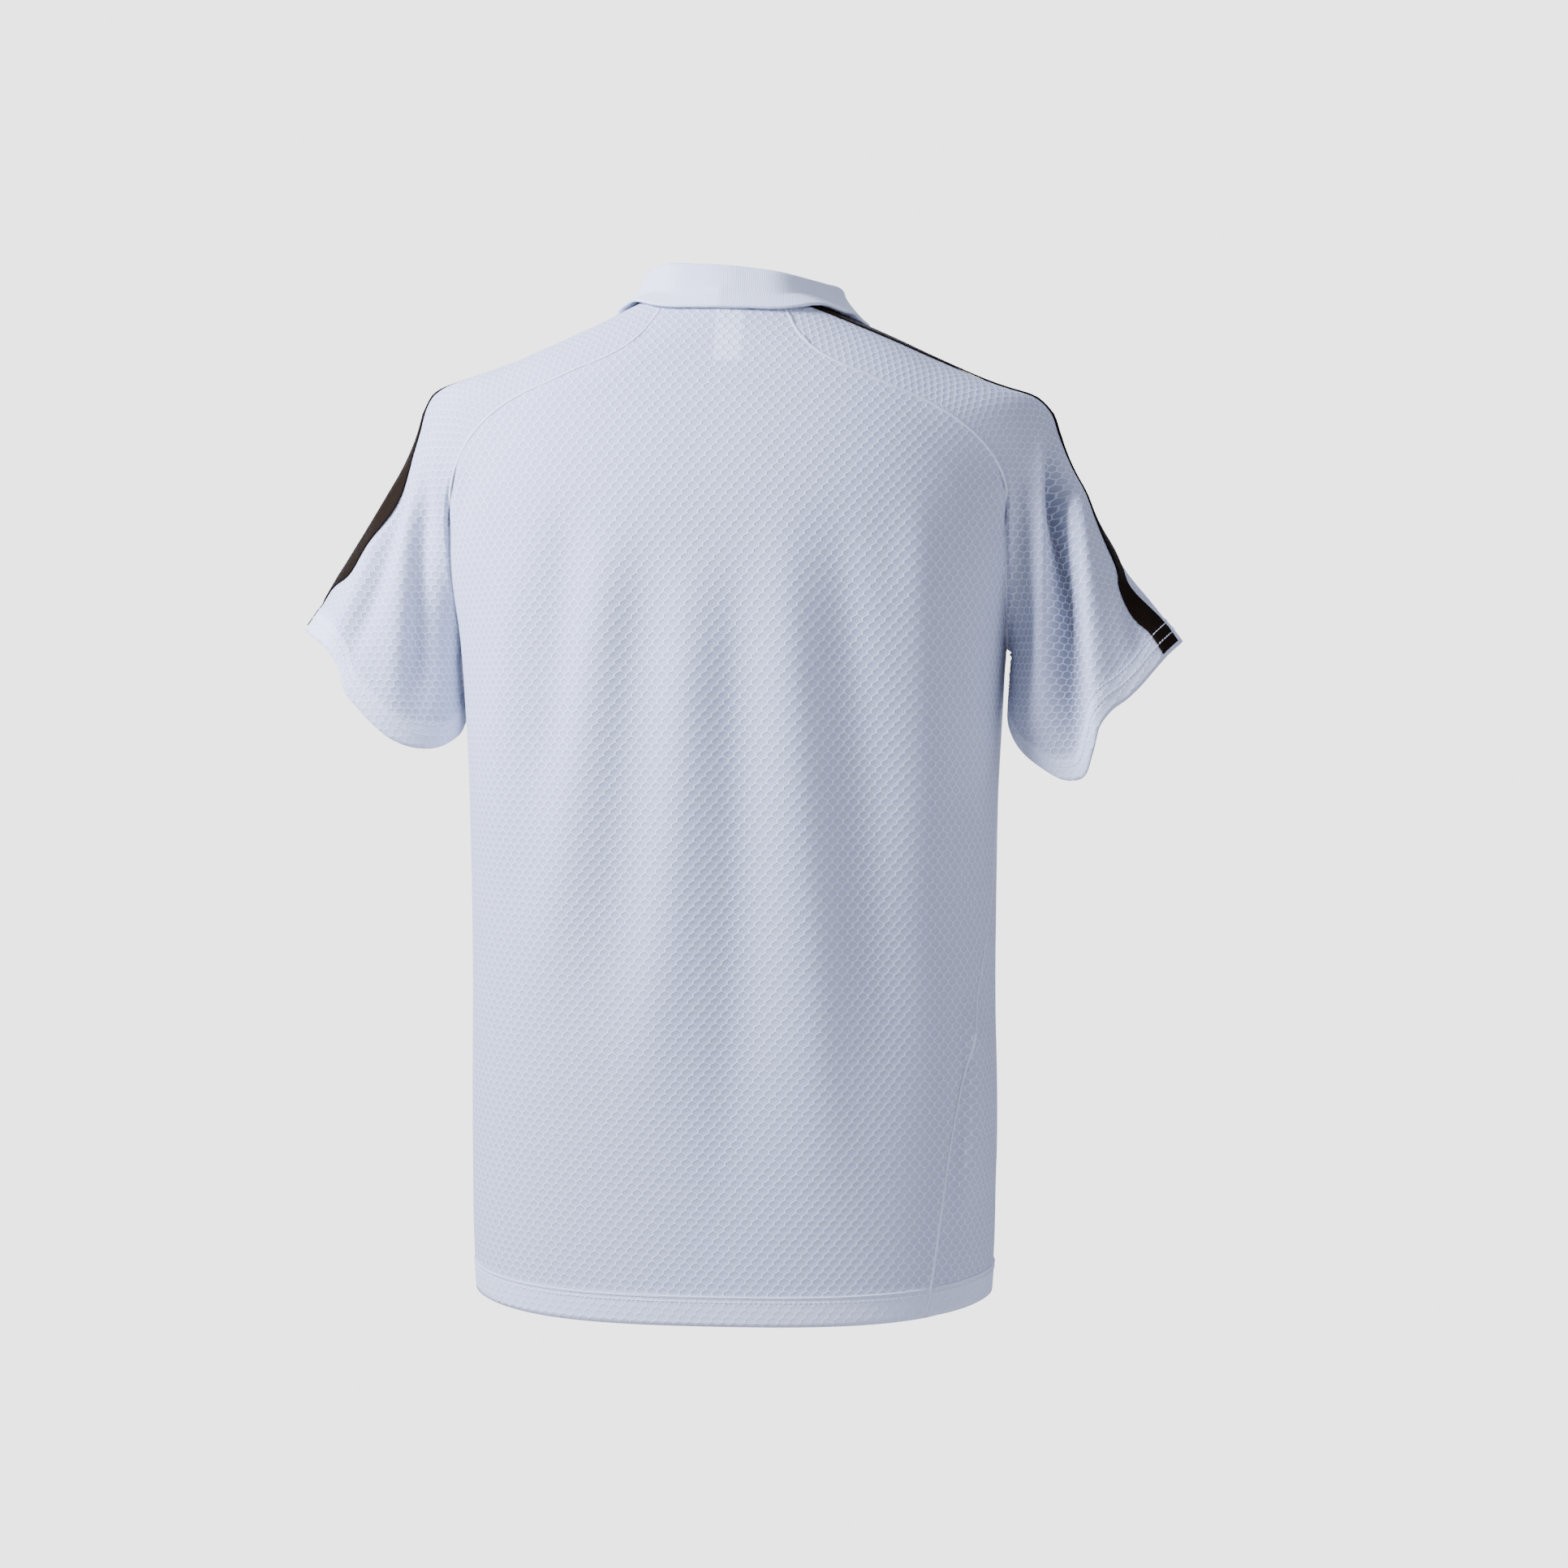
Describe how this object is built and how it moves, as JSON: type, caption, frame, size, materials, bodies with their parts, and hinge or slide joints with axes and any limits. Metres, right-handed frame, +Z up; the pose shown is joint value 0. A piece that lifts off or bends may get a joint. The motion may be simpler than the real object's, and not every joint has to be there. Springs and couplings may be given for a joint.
{
  "type": "polo shirt",
  "caption": "Short-sleeved raglan polo shirt in honeycomb mesh, with a knitted fold-over collar and a buttoned placket, in the hollow form that it keeps when worn.",
  "frame": {"origin": "on the middle line between front and back, level with the points where the collar meets the top of the shoulders: where the wearer's shoulders and neck carry the shirt", "axes": "+Z up, +X to the wearer's left, the back faces +Y and the front faces -Y"},
  "size_m": [0.64, 0.257, 0.7443],
  "materials": {
    "mesh_white": "cool white polyester honeycomb mesh, matt",
    "knit_white": "cool white flat knit with fine ribs, matt",
    "dark_tape": "near-black woven tape with a faint sheen",
    "white_label": "blank white woven label",
    "button_white": "white polyester shirt button, softly glossy"
  },
  "bodies": {
    "root": {"back_panel": "mesh_white", "front_panel": "mesh_white", "sleeve_left": "mesh_white", "sleeve_right": "mesh_white", "collar": "knit_white", "placket": "knit_white", "band_left": "dark_tape", "band_right": "dark_tape", "neck_label": "white_label", "button_1": "button_white", "button_2": "button_white", "button_3": "button_white"}
  },
  "joints": []
}
